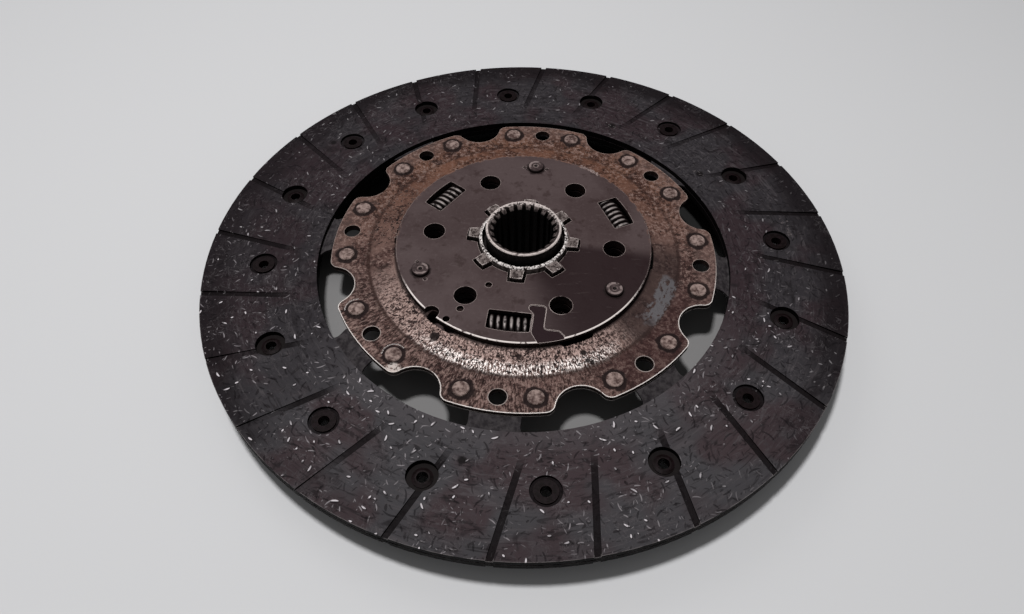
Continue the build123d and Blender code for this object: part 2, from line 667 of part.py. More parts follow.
# --- the nodes ------------------------------------------------------------------------------------
nodes = {
    "facing_upper": facing(upper_turns, lower_turns),
    "facing_lower": facing(lower_turns, upper_turns, facing_up=False),
    "facing_rivets_upper": Compound([one(facing_rivet(a, FACE_TOP, 1)) for a in upper_turns]),
    "facing_rivets_lower": Compound([one(facing_rivet(a, FACE_BOTTOM, -1)) for a in lower_turns]),
    "drive_plate": drive_plate(),
    "cover_plate": cover_plate(),
    "rear_plate": rear_plate(),
    "hub": hub(),
    "hub_flange": hub_flange(),
    "spacer_bolts": Compound([one(spacer_bolt(a)) for a in angles(SPRING_COUNT, BOLT_PHASE)]),
    "friction_washer_upper": upper_friction_washer(),
    "friction_washer_lower": lower_friction_washer(),
    "spring_washer": spring_washer(),
    "guide_bush": guide_bush(),
}
for index, piece in enumerate(cushion_segments(), start=1):
    nodes[f"cushion_segment_{index}"] = piece
plate_rivets = []
for lobe in angles(SEGMENT_COUNT, LOBE_PHASE):
    for side in (-1, 1):
        plate_rivets.append(one(plate_rivet(lobe + side * PLATE_RIVET_ANGLE)))
nodes["segment_rivets"] = Compound(plate_rivets)
coil = damper_spring()
for index, a in enumerate(angles(SPRING_COUNT, SPRING_PHASE), start=1):
    nodes[f"damper_spring_{index}"] = Rot(0, 0, a) * coil

os.makedirs("parts", exist_ok=True)
for name, shape in nodes.items():
    export_step(shape, f"parts/{name}.step")
    print(name, round(shape.volume, 1))
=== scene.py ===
import bpy
import bmesh
from math import atan2, cos, degrees, hypot, pi, radians, sin
from mathutils import Matrix, Vector
from random import Random


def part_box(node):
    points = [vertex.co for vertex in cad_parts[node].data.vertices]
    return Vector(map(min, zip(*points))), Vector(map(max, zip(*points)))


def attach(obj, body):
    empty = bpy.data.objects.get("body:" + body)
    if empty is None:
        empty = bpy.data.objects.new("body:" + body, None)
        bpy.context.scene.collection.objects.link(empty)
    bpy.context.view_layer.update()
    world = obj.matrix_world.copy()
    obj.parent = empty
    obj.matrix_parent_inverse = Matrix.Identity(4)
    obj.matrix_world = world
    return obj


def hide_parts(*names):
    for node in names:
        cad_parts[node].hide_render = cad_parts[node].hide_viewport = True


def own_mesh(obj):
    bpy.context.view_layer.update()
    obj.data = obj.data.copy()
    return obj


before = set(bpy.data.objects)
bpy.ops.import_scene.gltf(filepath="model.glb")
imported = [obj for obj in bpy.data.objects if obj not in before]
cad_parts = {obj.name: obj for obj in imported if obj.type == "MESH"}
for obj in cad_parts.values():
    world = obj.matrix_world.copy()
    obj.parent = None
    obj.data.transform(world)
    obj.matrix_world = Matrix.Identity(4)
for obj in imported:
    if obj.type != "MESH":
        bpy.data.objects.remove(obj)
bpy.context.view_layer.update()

# A used sprung clutch disc on a pale floor. Places on the disc are polar: a radius in millimetres from the
# hub axis and an angle in degrees, anticlockwise from +X seen from above.

MM = 0.001


def top_of(node):
    """Height of a CAD node's highest point, in millimetres."""
    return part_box(node)[1].z / MM


# --- places on the disc ---------------------------------------------------------------------------------
FACE_TOP = top_of("facing_upper")
FACE_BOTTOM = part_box("facing_lower")[0].z / MM
FACE_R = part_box("facing_upper")[1].x / MM
COVER_TOP = top_of("cover_plate")
COVER_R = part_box("cover_plate")[1].x / MM
PLATE_TOP = 16.7                # of the drive plate's lobes
COLLAR_TOP = top_of("hub")
LIP_TOP = COLLAR_TOP - 4.4      # the toothed crown's lip stands this far under the collar's rim

LOBE_PHASE = 83.5               # of the drive plate's lobes
LOBE_PITCH = 45.0
PLATE_RIVET_R = 66.6
PLATE_RIVET_ANGLE = 10.76       # each side of a lobe's middle
PLATE_HOLE_CIRCLE_R = 66.7
FLANGE_R = 60.0                 # where the drive plate is flat, outside its cone
CREASE_R = 58.2
BOLT_CIRCLE_R = 40.5
BOLT_PHASE = 83.5
BOLT_PITCH = 120.0
HUB_TEETH = 8
HUB_TOOTH_PITCH = 45.0
TOOTH_BURR_PHASE = 83.5

SPRING_COUNT = 3

# --- marks of wear: radius, angle and size --------------------------------------------------------------
FACING_CHIPS = [(85.8, 63.5, 1.6), (86.4, 32.0, 1.5), (104.0, 143.0, 1.2), (90.0, -101.5, 1.4)]
PLATE_PITS = [(52.5, -125.0, 1.7), (53.0, -66.7, 1.0), (56.2, -66.4, 0.9), (57.4, -65.3, 0.8)]
PLATE_SCRAPE = (70.8, -127.4, 2.6)

# --- camera, floor and light ----------------------------------------------------------------------------
CAMERA_AT = (0.0, -0.1992, 0.2310)
CAMERA_AIM = (-0.0037, -0.0270, 0.0145)
LENS = 27.0
SENSOR = 36.0

FLOOR_SIZE = 8.0
FLOOR_DROP = 0.0002             # under the disc, so that the two never share a face
FLOOR_PALE = (0.60, 0.60, 0.61)
# painted shade under the disc: grey in front, nearly black at the back
FLOOR_SHADE_FRONT = (0.22, 0.215, 0.215)
FLOOR_SHADE_BACK = (0.02, 0.02, 0.02)
FLOOR_UNSEEN = (0.05, 0.05, 0.05)       # what light scattered by the disc meets
WORLD_STRENGTH = 0.20
LIGHTS = [                      # name, place, size and power; each aims at the middle of the disc
    ("key", (-0.12, 0.0, 1.0), 0.12, 8.2),
    ("fill", (-0.5, 0.7, 0.8), 0.6, 1.2),
]


def aimed(place, aim):
    """Rotation of a camera or a light at a place that looks at the aim."""
    return (Vector(aim) - Vector(place)).to_track_quat("-Z", "Y").to_euler()


def make_camera():
    data = bpy.data.cameras.new("camera")
    data.lens = LENS
    data.sensor_width = SENSOR
    data.clip_start = 0.01
    camera = bpy.data.objects.new("camera", data)
    bpy.context.scene.collection.objects.link(camera)
    camera.location = CAMERA_AT
    camera.rotation_euler = aimed(CAMERA_AT, CAMERA_AIM)
    bpy.context.scene.camera = camera


def make_light(name, at, size, power):
    data = bpy.data.lights.new(name, "AREA")
    data.shape = "DISK"
    data.size = size
    data.energy = power
    light = bpy.data.objects.new(name, data)
    bpy.context.scene.collection.objects.link(light)
    light.location = at
    light.rotation_euler = aimed(at, (0, 0, 0))


def make_stage():
    """The floor shows pale, with painted shade under the disc that is seen through its gaps.

    Only scattered light meets it as FLOOR_UNSEEN.
    """
    bpy.ops.mesh.primitive_plane_add(size=FLOOR_SIZE, location=(0, 0, -FLOOR_DROP))
    floor = bpy.context.object
    floor.name = "floor"
    p = Paint("floor")
    ray = p.make("ShaderNodeLightPath").outputs
    shown = p.either(ray["Is Camera Ray"], ray["Is Glossy Ray"], ray["Is Transmission Ray"])
    # painted shade under the disc, grey in front and nearly black at the back
    shade_below = p.mix(p.step(p.y, -10.0, 25.0), FLOOR_SHADE_FRONT, FLOOR_SHADE_BACK)
    pale = p.mix(p.step(p.radius, 84.0, 106.0), shade_below, FLOOR_PALE)
    p.set(base=p.mix(shown, FLOOR_UNSEEN, pale), rough=0.9, specular=0.0)
    floor.data.materials.append(p.material)
    world = bpy.data.worlds.new("world")
    bpy.context.scene.world = world
    world.use_nodes = True
    background = world.node_tree.nodes["Background"]
    background.inputs["Color"].default_value = (1.0, 1.0, 1.0, 1.0)
    background.inputs["Strength"].default_value = WORLD_STRENGTH


# --- node materials -------------------------------------------------------------------------------------
class Paint:
    """One procedural material. Its places are in millimetres in the row frame."""

    def __init__(self, name):
        self.material = bpy.data.materials.new(name)
        self.material.use_nodes = True
        self.tree = self.material.node_tree
        self.shader = self.tree.nodes["Principled BSDF"]
        place = self.tree.nodes.new("ShaderNodeTexCoord").outputs["Object"]
        self.at = self.vector("SCALE", place, scale=1.0 / MM)
        split = self.make("ShaderNodeSeparateXYZ", {0: self.at})
        self.x, self.y, self.z = split.outputs[0], split.outputs[1], split.outputs[2]
        self._radius = None
        self._angle = None

    @property
    def radius(self):
        if self._radius is None:
            x2 = self.math("MULTIPLY", self.x, self.x)
            y2 = self.math("MULTIPLY", self.y, self.y)
            self._radius = self.math("SQRT", self.math("ADD", x2, y2))
        return self._radius

    @property
    def angle(self):
        """Degrees from -180 to 180."""
        if self._angle is None:
            self._angle = self.math("MULTIPLY", self.math("ARCTAN2", self.y, self.x), 180.0 / pi)
        return self._angle

    # nodes and numbers
    def make(self, kind, sockets=None, **settings):
        node = self.tree.nodes.new(kind)
        for key, value in settings.items():
            setattr(node, key, value)
        for key, value in (sockets or {}).items():
            self.feed(node.inputs[key], value)
        return node

    def feed(self, socket, value):
        if isinstance(value, bpy.types.NodeSocket):
            self.tree.links.new(value, socket)
        elif socket.type == "RGBA":
            socket.default_value = (value[0], value[1], value[2], 1.0)
        else:
            socket.default_value = value

    def math(self, operation, a, b=0.0):
        return self.make("ShaderNodeMath", {0: a, 1: b}, operation=operation).outputs[0]

    def vector(self, operation, a, b=(0, 0, 0), scale=None):
        node = self.make("ShaderNodeVectorMath", {0: a, 1: b}, operation=operation)
        if scale is not None:
            self.feed(node.inputs["Scale"], scale)
        return node.outputs[1] if operation == "DISTANCE" else node.outputs[0]

    def add(self, a, b, part):
        """a plus a part of b."""
        return self.math("ADD", a, self.math("MULTIPLY", b, part))

    def less(self, a, b, part):
        """a minus a part of b."""
        return self.math("SUBTRACT", a, self.math("MULTIPLY", b, part))

    def sway(self, value, noise, reach):
        """The value, moved up or down by a noise; reach is the whole way from lowest to highest."""
        return self.add(value, self.math("SUBTRACT", noise, 0.5), reach)

    # masks
    def step(self, value, low, high):
        """0 at low and 1 at high, smooth between; low may be the larger."""
        sockets = {"Value": value, "From Min": low, "From Max": high}
        return self.make("ShaderNodeMapRange", sockets, interpolation_type="SMOOTHSTEP").outputs[0]

    def band(self, value, low, high, soft):
        """1 between low and high."""
        rise = self.step(value, low - soft, low + soft)
        return self.math("MULTIPLY", rise, self.step(value, high + soft, high - soft))

    def both(self, *masks):
        """The product of masks, or of masks and a number."""
        result = masks[0]
        for mask in masks[1:]:
            result = self.math("MULTIPLY", result, mask)
        return result

    def either(self, *masks):
        result = masks[0]
        for mask in masks[1:]:
            result = self.math("MAXIMUM", result, mask)
        return result

    def invert(self, mask):
        return self.math("SUBTRACT", 1.0, mask)

    def spot(self, radius, angle, size, soft=0.5):
        """1 within size of a place on the disc."""
        centre = (radius * cos(radians(angle)), radius * sin(radians(angle)), 0.0)
        flat = self.vector("MULTIPLY", self.at, (1, 1, 0))
        away = self.vector("DISTANCE", flat, centre)
        ragged = self.sway(away, self.noise(0.9), size * 0.7)
        return self.step(ragged, size + soft, size - soft)

    def seat_distance(self, phase, pitch, radius, angle=0.0):
        """Distance in millimetres from the nearest of the seats that repeat round the hub axis.

        They stand at a radius, at an angle each side of the phase and of every pitch from it.
        """
        folded = self.math("PINGPONG", self.math("SUBTRACT", self.angle, phase - 360.0), pitch / 2)
        turn = self.math("MULTIPLY", folded, pi / 180.0)
        x = self.math("MULTIPLY", self.radius, self.math("COSINE", turn))
        y = self.math("MULTIPLY", self.radius, self.math("SINE", turn))
        local = self.make("ShaderNodeCombineXYZ", {0: x, 1: y, 2: 0.0}).outputs[0]
        seat = radians(angle)
        return self.vector("DISTANCE", local, (radius * cos(seat), radius * sin(seat), 0.0))

    def edges(self, size, low=0.02, high=0.25):
        """1 on edges, from how far the rounded normal leaves the true one. size is in millimetres."""
        soft = self.make("ShaderNodeBevel", {"Radius": size * MM}, samples=6).outputs[0]
        true = self.make("ShaderNodeNewGeometry").outputs["Normal"]
        dot = self.make("ShaderNodeVectorMath", {0: soft, 1: true}, operation="DOT_PRODUCT")
        return self.step(self.invert(dot.outputs["Value"]), low, high)

    def up(self):
        """Height of the surface's normal, 1 on level tops."""
        normal = self.make("ShaderNodeNewGeometry").outputs["Normal"]
        return self.make("ShaderNodeSeparateXYZ", {0: normal}).outputs[2]

    def upright(self, level=0.4, steep=0.2):
        """1 on walls, 0 on level faces."""
        return self.step(self.math("ABSOLUTE", self.up()), level, steep)

    # noises and the places they are read at
    def noise(self, scale, detail=3.0, rough=0.55, distort=0.0, at=None):
        """scale is cycles a millimetre."""
        sockets = {"Vector": at or self.at, "Scale": scale, "Detail": detail}
        sockets.update({"Roughness": rough, "Distortion": distort})
        return self.make("ShaderNodeTexNoise", sockets).outputs["Fac"]

    def stretched(self, x, y):
        """The place, stretched by factors."""
        return self.vector("MULTIPLY", self.at, (x, y, 1.0))

    def polar(self, along, across):
        """A place whose first axis is the radius and whose second is the way round, each with a factor."""
        around = self.math("MULTIPLY", self.angle, across)
        outward = self.math("MULTIPLY", self.radius, along)
        return self.make("ShaderNodeCombineXYZ", {0: outward, 1: around, 2: self.z}).outputs[0]

    # colours and the surface
    def mix(self, mask, a, b):
        """Colour a where the mask is 0, b where it is 1."""
        node = self.make("ShaderNodeMix", data_type="RGBA")
        self.feed(node.inputs["Factor"], mask)
        self.feed(node.inputs[6], a)
        self.feed(node.inputs[7], b)
        return node.outputs[2]

    def coat(self, base, colour, *masks):
        """The colour laid over base where all the masks are 1; a number among them thins it."""
        return self.mix(self.both(*masks), base, colour)

    def blend(self, mask, a, b):
        """Number a where the mask is 0, b where it is 1."""
        node = self.make("ShaderNodeMix", data_type="FLOAT")
        self.feed(node.inputs[0], mask)
        self.feed(node.inputs[2], a)
        self.feed(node.inputs[3], b)
        return node.outputs[0]

    def set(self, base, rough=0.6, metal=0.0, bump=None, depth=0.1, specular=0.5):
        """bump is a height of 0 to 1, and depth is in millimetres."""
        self.feed(self.shader.inputs["Base Color"], base)
        self.feed(self.shader.inputs["Roughness"], rough)
        self.feed(self.shader.inputs["Metallic"], metal)
        self.shader.inputs["Specular IOR Level"].default_value = specular
        if bump is not None:
            node = self.make("ShaderNodeBump", {"Height": bump, "Distance": depth * MM, "Strength": 1.0})
            self.feed(self.shader.inputs["Normal"], node.outputs[0])


# --- friction lining ------------------------------------------------------------------------------------
FIBRE_BOW = 0.10                # sideways bend in millimetres, one millimetre along a fibre
FIBRE_LEAST = 0.35              # the shortest is this share of the given length, the longest 1 more

LINING_GREY, LINING_BROWN = (0.026, 0.023, 0.026), (0.028, 0.018, 0.021)
LINING_GREY_LIT, LINING_BROWN_LIT = (0.050, 0.047, 0.051), (0.044, 0.031, 0.034)
LINING_MOTTLE = (0.050, 0.043, 0.046)
LINING_SMEAR_PALE, LINING_SMEAR_DARK = (0.075, 0.066, 0.070), (0.010, 0.008, 0.009)
LINING_STAIN = (0.009, 0.007, 0.008)
LINING_RIM_SHADE, LINING_LEFT_SHADE, LINING_BORE_LIGHT = (0.0065, 0.0045, 0.0055), (0.014, 0.010, 0.012), (0.066, 0.059, 0.063)
FIBRE_DULL, FIBRE_PALE_GLINT, FIBRE_HAIR = (0.22, 0.20, 0.21), (0.56, 0.52, 0.54), (0.100, 0.090, 0.094)
FIBRE_SHADOW, FIBRE_DARK = (0.006, 0.004, 0.005), (0.004, 0.003, 0.004)
GROOVE_SHADE, SIDE_SHADE = (0.0035, 0.002, 0.0025), (0.0015, 0.001, 0.001)
LINING_EDGE_HIGHLIGHT, LINING_CHIP = (0.20, 0.18, 0.18), (0.005, 0.004, 0.004)


def flecks(p, cell, length, width, seed, share, aside=(0.0, 0.0)):
    """Short bent fibres, one to a cell, each lying its own way. share is how many cells have one."""
    shifted = p.vector("ADD", p.at, (seed * 37.1 + aside[0], seed * 11.7 + aside[1], 0.0))
    flat = p.vector("MULTIPLY", shifted, (1, 1, 0))
    cells = p.make("ShaderNodeTexVoronoi", {"Vector": flat, "Scale": 1.0 / cell})
    local = p.vector("SUBTRACT", flat, cells.outputs["Position"])
    chance = p.make("ShaderNodeSeparateColor", {0: cells.outputs["Color"]}).outputs
    sockets = {"Vector": local, "Angle": p.math("MULTIPLY", chance[0], 2 * pi)}
    turned = p.make("ShaderNodeVectorRotate", sockets, rotation_type="Z_AXIS").outputs[0]
    parts = p.make("ShaderNodeSeparateXYZ", {0: turned}).outputs
    reach = p.math("MULTIPLY", p.math("ADD", chance[1], FIBRE_LEAST), length)
    along = p.math("DIVIDE", parts[0], reach)
    bow = p.math("MULTIPLY", p.math("MULTIPLY", parts[0], parts[0]), FIBRE_BOW)
    across = p.math("DIVIDE", p.math("ADD", parts[1], bow), width)
    away = p.math("ADD", p.math("MULTIPLY", along, along), p.math("MULTIPLY", across, across))
    chosen = p.math("LESS_THAN", chance[2], share)
    return p.both(p.step(away, 0.30, 0.17), chosen)


def facing_paint():
    p = Paint("facing_lining")
    # two tones, painted lighter in front where the light falls
    lit_front = p.band(p.add(p.angle, p.noise(0.05), 40.0), -120.0, -14.0, 22.0)
    brown = p.step(p.noise(0.040, 2.0), 0.44, 0.58)
    base = p.mix(brown, LINING_GREY, LINING_BROWN)
    base = p.mix(lit_front, base, p.mix(brown, LINING_GREY_LIT, LINING_BROWN_LIT))
    # mottling, and smears that run round the disc
    mottle = p.noise(0.42, 5.0, 0.68)
    base = p.coat(base, LINING_MOTTLE, p.step(mottle, 0.50, 0.72), 0.7)
    swirl = p.noise(1.0, 4.0, 0.65, 1.2, p.polar(0.55, 0.16))
    base = p.coat(base, LINING_SMEAR_PALE, p.step(swirl, 0.55, 0.68), 0.55)
    base = p.coat(base, LINING_SMEAR_DARK, p.step(swirl, 0.46, 0.36), 0.6)
    base = p.coat(base, LINING_STAIN, p.step(p.noise(0.16, 3.0, 0.6, 1.0), 0.56, 0.70), 0.65)
    # painted shade at the rim and on the left, and painted light along the bore in front
    ring = p.add(p.radius, p.noise(0.06), 14.0)
    shaded = p.both(p.step(ring, FACE_R - 8.0, FACE_R + 4.0), p.blend(lit_front, 1.0, 0.15))
    base = p.coat(base, LINING_RIM_SHADE, shaded, 0.85)
    left_shade = p.both(p.step(p.x, -50.0, -115.0), p.step(p.y, -60.0, -20.0))
    base = p.coat(base, LINING_LEFT_SHADE, left_shade, 0.5)
    inner = p.both(lit_front, p.step(p.add(p.radius, p.noise(0.08), 8.0), 92.0, 84.0))
    base = p.coat(base, LINING_BORE_LIGHT, inner, 0.5)
    # fibres, fewer at the back and on the right rim
    patches = p.step(p.noise(0.07, 2.0, 0.5), 0.42, 0.56)
    many = flecks(p, 2.4, 1.4, 0.32, 1, 0.40)
    some = flecks(p, 4.4, 2.4, 0.44, 2, 0.55)
    bright = flecks(p, 5.6, 1.8, 0.56, 3, 0.55)
    shadow = flecks(p, 5.6, 2.4, 0.95, 3, 0.55, (-0.20, 0.28))
    hair = p.noise(0.16, 4.0, 0.62, 1.8)
    hair = p.both(p.band(hair, 0.494, 0.510, 0.005), p.step(p.noise(0.05, 2.0), 0.46, 0.56))
    near = p.step(p.add(p.y, p.x, 0.1), 45.0, -60.0)
    far_right = p.both(p.step(p.radius, 96.0, 108.0), p.step(p.x, 30.0, 75.0))
    amount = p.both(p.blend(near, 0.30, 1.0), p.blend(far_right, 1.0, 0.25))
    fine = p.both(p.either(p.both(many, 0.6), p.both(some, 0.9)), patches, amount)
    base = p.mix(fine, base, FIBRE_DULL)
    # the bright fibres are pale, with a painted glint, and each has a painted shadow beside it
    glint = p.both(bright, amount, p.step(p.noise(0.09, 2.0), 0.46, 0.56))
    base = p.coat(base, FIBRE_SHADOW, shadow, amount, 0.6)
    base = p.mix(glint, base, FIBRE_PALE_GLINT)
    base = p.coat(base, FIBRE_HAIR, hair, 0.45)
    short_dark = p.either(
        p.both(flecks(p, 3.0, 2.2, 0.42, 4, 0.5), 0.6),
        p.both(flecks(p, 6.0, 4.0, 0.55, 5, 0.6), 0.8),
    )
    base = p.coat(base, FIBRE_DARK, short_dark, 0.75)
    # grooves: painted shade in them, weaker on the left towards the rim and at the back
    faint_left = p.both(p.band(p.angle, -166.0, -112.0, 4.0), p.step(p.radius, 99.0, 112.0))
    shade_below = p.both(
        p.step(p.z, FACE_TOP - 0.04, FACE_TOP - 0.22),
        p.blend(faint_left, 1.0, 0.25),
        p.blend(p.step(p.y, 0.0, 70.0), 1.0, 0.7),
    )
    over = p.step(p.z, FACE_BOTTOM + 0.04, FACE_BOTTOM + 0.22)
    base = p.coat(base, GROOVE_SHADE, p.both(shade_below, over), 0.9)
    # painted shade on the sides, a painted highlight on the front rim's top edge, and the chips
    edge = p.both(
        p.edges(0.5, 0.01, 0.12),
        p.step(p.radius, FACE_R - 1.0, FACE_R - 0.6),
        p.step(p.y, 20.0, -40.0),
        p.step(p.noise(0.2), 0.36, 0.5),
    )
    base = p.coat(base, SIDE_SHADE, p.upright(), 0.95)
    base = p.coat(base, LINING_EDGE_HIGHLIGHT, edge, 0.6)
    chips = p.either(*[p.spot(*place) for place in FACING_CHIPS])
    base = p.coat(base, LINING_CHIP, chips, 0.9)
    height = p.add(p.both(mottle, 0.8), p.noise(2.2, 4.0, 0.7), 0.6)
    height = p.add(height, p.either(many, some, bright), 0.2)
    height = p.less(height, p.either(short_dark, chips), 0.5)
    rough = p.blend(p.step(mottle, 0.3, 0.7), 0.75, 0.60)
    p.set(base, rough=rough, bump=height, depth=0.24, specular=0.07)
    return p.material


# --- drive plate ----------------------------------------------------------------------------------------
RUST_BROWN = (0.052, 0.025, 0.022), (0.105, 0.058, 0.050)
RUST_ORANGE = (0.052, 0.020, 0.013), (0.120, 0.056, 0.036)
RUST_GRAIN, RUST_GRAIN_DARK, RUST_BLOT = (0.225, 0.152, 0.131), (0.011, 0.005, 0.004), (0.014, 0.005, 0.004)
RUST_CRUST, RIGHT_SHADE_RED, RUST_RIM = (0.250, 0.162, 0.140), (0.030, 0.010, 0.010), (0.155, 0.100, 0.087)
CONE_FRONT_LIT, CONE_BACK = (0.170, 0.105, 0.090), (0.140, 0.062, 0.039)
STREAK_PALE, STREAK_DARK = (0.290, 0.195, 0.172), (0.010, 0.004, 0.003)
CONE_SHEEN, CONE_GLARE, CONE_SPECK = (0.45, 0.32, 0.285), (1.0, 0.92, 0.88), (0.016, 0.006, 0.005)
CREASE_DARK, PIT_AND_SHADE_BLACK, PIT_DEEP = (0.026, 0.011, 0.008), (0.008, 0.003, 0.003), (0.005, 0.002, 0.002)
RIGHT_SHADOW, BARE_GREY = (0.016, 0.009, 0.009), (0.110, 0.102, 0.108)
EDGE_WORN, LIP_HIGHLIGHT, SCRAPE_BRIGHT = (0.36, 0.28, 0.25), (0.95, 0.88, 0.84), (0.62, 0.54, 0.50)
WALL_SHADE = (0.007, 0.003, 0.003)


def plate_paint():
    p = Paint("drive_plate_rust")
    # rust, brown in front and orange at the back
    back = p.step(p.y, -20.0, 50.0)
    wide = p.noise(0.06, 4.0, 0.62)
    fine = p.noise(0.75, 5.0, 0.75)
    brown = p.mix(p.step(wide, 0.38, 0.62), *RUST_BROWN)
    orange = p.mix(p.step(wide, 0.38, 0.62), *RUST_ORANGE)
    base = p.mix(back, brown, orange)
    base = p.coat(base, RUST_GRAIN, p.step(fine, 0.53, 0.58), 0.85)
    base = p.coat(base, RUST_GRAIN_DARK, p.step(fine, 0.47, 0.41), 0.90)
    base = p.coat(base, RUST_BLOT, p.step(p.noise(0.22, 5.0, 0.72), 0.55, 0.60), 0.75)
    flat = p.step(p.radius, CREASE_R, CREASE_R + 2.0)
    base = p.coat(base, RUST_CRUST, p.step(p.noise(0.45, 5.0, 0.75), 0.56, 0.61), flat, 0.45)
    # painted shade on the right, by the bend
    red_right_shade = p.both(p.band(p.angle, -62.0, -18.0, 8.0), p.step(p.radius, 57.5, FLANGE_R))
    base = p.coat(base, RIGHT_SHADE_RED, red_right_shade, 0.55)
    outer = p.both(p.step(p.add(p.radius, fine, 5.0), 65.0, 70.0), p.step(p.y, -40.0, 0.0))
    base = p.coat(base, RUST_RIM, outer, 0.30)
    # the cone, painted paler in front where it catches the light
    inside = p.both(p.band(p.radius, 46.0, CREASE_R - 0.6, 0.8), p.step(p.noise(0.16, 4.0, 0.6), 0.40, 0.60))
    base = p.coat(base, p.mix(back, CONE_FRONT_LIT, CONE_BACK), inside, 0.65)
    # streaks on the flange, and a painted reflection on the cone in front
    turned = p.sway(p.angle, wide, 30.0)
    lit_front = p.band(turned, -160.0, -48.0, 12.0)
    core = p.band(turned, -128.0, -58.0, 12.0)
    cone = p.band(p.add(p.radius, fine, 2.0), 46.0, CREASE_R + 1.0, 1.2)
    lines = p.noise(1.0, 4.0, 0.75, 0.4, p.polar(0.45, 1.8))
    flange = p.both(p.band(turned, -165.0, -70.0, 12.0), p.step(p.radius, CREASE_R, CREASE_R + 1.0))
    base = p.coat(base, STREAK_PALE, flange, p.step(lines, 0.53, 0.59), 0.60)
    base = p.coat(base, STREAK_DARK, flange, p.step(lines, 0.47, 0.42), 0.85)
    sheen_noise = p.add(p.both(lines, 0.65), fine, 0.42)
    shine = p.both(cone, lit_front, p.step(sheen_noise, 0.47, 0.56))
    low_cone = p.step(p.add(p.radius, fine, 3.0), 54.0, 57.0)
    glare = p.both(cone, core, p.step(sheen_noise, 0.525, 0.565), low_cone)
    base = p.coat(base, CONE_SHEEN, shine, 0.8)
    base = p.coat(base, CONE_GLARE, glare, 0.95)
    specks = p.both(cone, lit_front, p.step(p.noise(1.0, 4.0, 0.7, 0.3), 0.535, 0.565))
    base = p.coat(base, CONE_SPECK, specks, 0.95)
    # the bend line, painted darker, and pits above it
    crease = p.band(p.add(p.radius, fine, 1.0), CREASE_R + 0.2, CREASE_R + 1.4, 0.4)
    base = p.coat(base, CREASE_DARK, crease, p.blend(back, 0.75, 0.35))
    pitted = p.either(lit_front, p.step(p.angle, 130.0, 165.0))
    small = p.step(p.noise(0.75, 3.0, 0.65, 0.4), 0.575, 0.61)
    large = p.both(p.step(p.noise(0.36, 3.0, 0.6, 0.4), 0.62, 0.65), p.step(p.radius, 57.0, 54.0))
    pits = p.both(p.either(small, large), pitted, p.step(p.radius, 62.0, 57.0))
    base = p.coat(base, PIT_AND_SHADE_BLACK, pits, 0.95)
    # a patch bared to grey metal on the right, in a stretch of painted shadow
    shadow = p.both(p.step(p.angle, -54.0, -44.0), p.step(p.angle, 10.0, -6.0), p.step(p.radius, 61.0, 57.0))
    base = p.coat(base, RIGHT_SHADOW, shadow, 0.72)
    ragged = p.sway(p.radius, p.noise(0.3, 4.0, 0.7), 7.0)
    strip = p.band(p.add(p.angle, p.noise(0.25, 3.0), 12.0), -32.0, -9.0, 2.0)
    streaks = p.step(p.noise(1.0, 4.0, 0.7, 0.3, p.polar(0.8, 0.35)), 0.40, 0.47)
    grey = p.both(strip, p.band(ragged, 52.6, 58.6, 0.5), streaks)
    base = p.mix(grey, base, BARE_GREY)
    # deep pits; rust and painted shadow round the rivets; painted shade under the cover's rim
    blotch = p.either(*[p.spot(*place, 0.3) for place in PLATE_PITS])
    base = p.coat(base, PIT_DEEP, blotch, 0.95)
    away = p.seat_distance(LOBE_PHASE, LOBE_PITCH, PLATE_RIVET_R, PLATE_RIVET_ANGLE)
    away = p.sway(away, p.noise(0.4, 4.0), 3.0)
    base = p.coat(base, PIT_AND_SHADE_BLACK, p.step(away, 4.7, 3.9), 0.95)
    base = p.coat(base, PIT_AND_SHADE_BLACK, p.step(p.radius, COVER_R + 1.4, COVER_R + 0.3), 0.9)
    # worn edges, and a painted highlight on the front rim's edges but not round its holes
    near_rim = p.both(p.step(p.radius, FLANGE_R, FLANGE_R + 1.5), p.step(p.y, 0.0, -30.0))
    from_hole = p.seat_distance(LOBE_PHASE, LOBE_PITCH, PLATE_HOLE_CIRCLE_R)
    off_hole = p.blend(p.step(from_hole, 4.0, 5.0), 0.25, 1.0)
    lip = p.both(p.edges(0.70, 0.006, 0.06), p.step(p.noise(0.22), 0.28, 0.40), near_rim, off_hole)
    worn = p.both(
        p.edges(0.50, 0.01, 0.12),
        p.step(p.noise(0.35), 0.34, 0.46),
        p.step(p.radius, FLANGE_R, FLANGE_R + 1.5),
    )
    base = p.coat(base, EDGE_WORN, worn, 0.8)
    base = p.coat(base, LIP_HIGHLIGHT, lip, 0.95)
    scraped = p.both(p.spot(*PLATE_SCRAPE), p.step(p.noise(0.9, 3.0), 0.40, 0.50))
    base = p.coat(base, SCRAPE_BRIGHT, scraped, 0.8)
    # painted shade on the outer walls, except where the highlight lies
    shaded_walls = p.both(p.upright(), p.step(p.radius, FLANGE_R, FLANGE_R + 1.0))
    base = p.coat(base, WALL_SHADE, p.both(shaded_walls, p.invert(lip)), 0.85)
    # the painted reflection and highlight and the bare grey patch are glossier, and pits aren't
    bare = p.both(p.either(shine, glare, grey, lip), p.invert(p.either(pits, blotch)))
    height = p.less(p.add(fine, wide, 0.4), p.either(pits, blotch), 0.8)
    rough = p.blend(bare, 0.75, 0.45)
    p.set(base, rough=rough, metal=p.both(bare, 0.25), bump=height, depth=0.22, specular=0.15)
    return p.material


# --- spacer bolts and cushion segments ------------------------------------------------------------------
BOLT_STEEL = (0.026, 0.015, 0.015), (0.060, 0.041, 0.041)
BOLT_RING, BOLT_INNER_RING = (0.28, 0.22, 0.21), (0.22, 0.17, 0.16)
BOLT_DIMPLE, BOLT_SIDE_SHADE = (0.004, 0.002, 0.002), (0.006, 0.003, 0.003)
SEGMENT_STEEL = (0.018, 0.015, 0.017), (0.050, 0.044, 0.046)
SEGMENT_SHADE = (0.004, 0.002, 0.002)


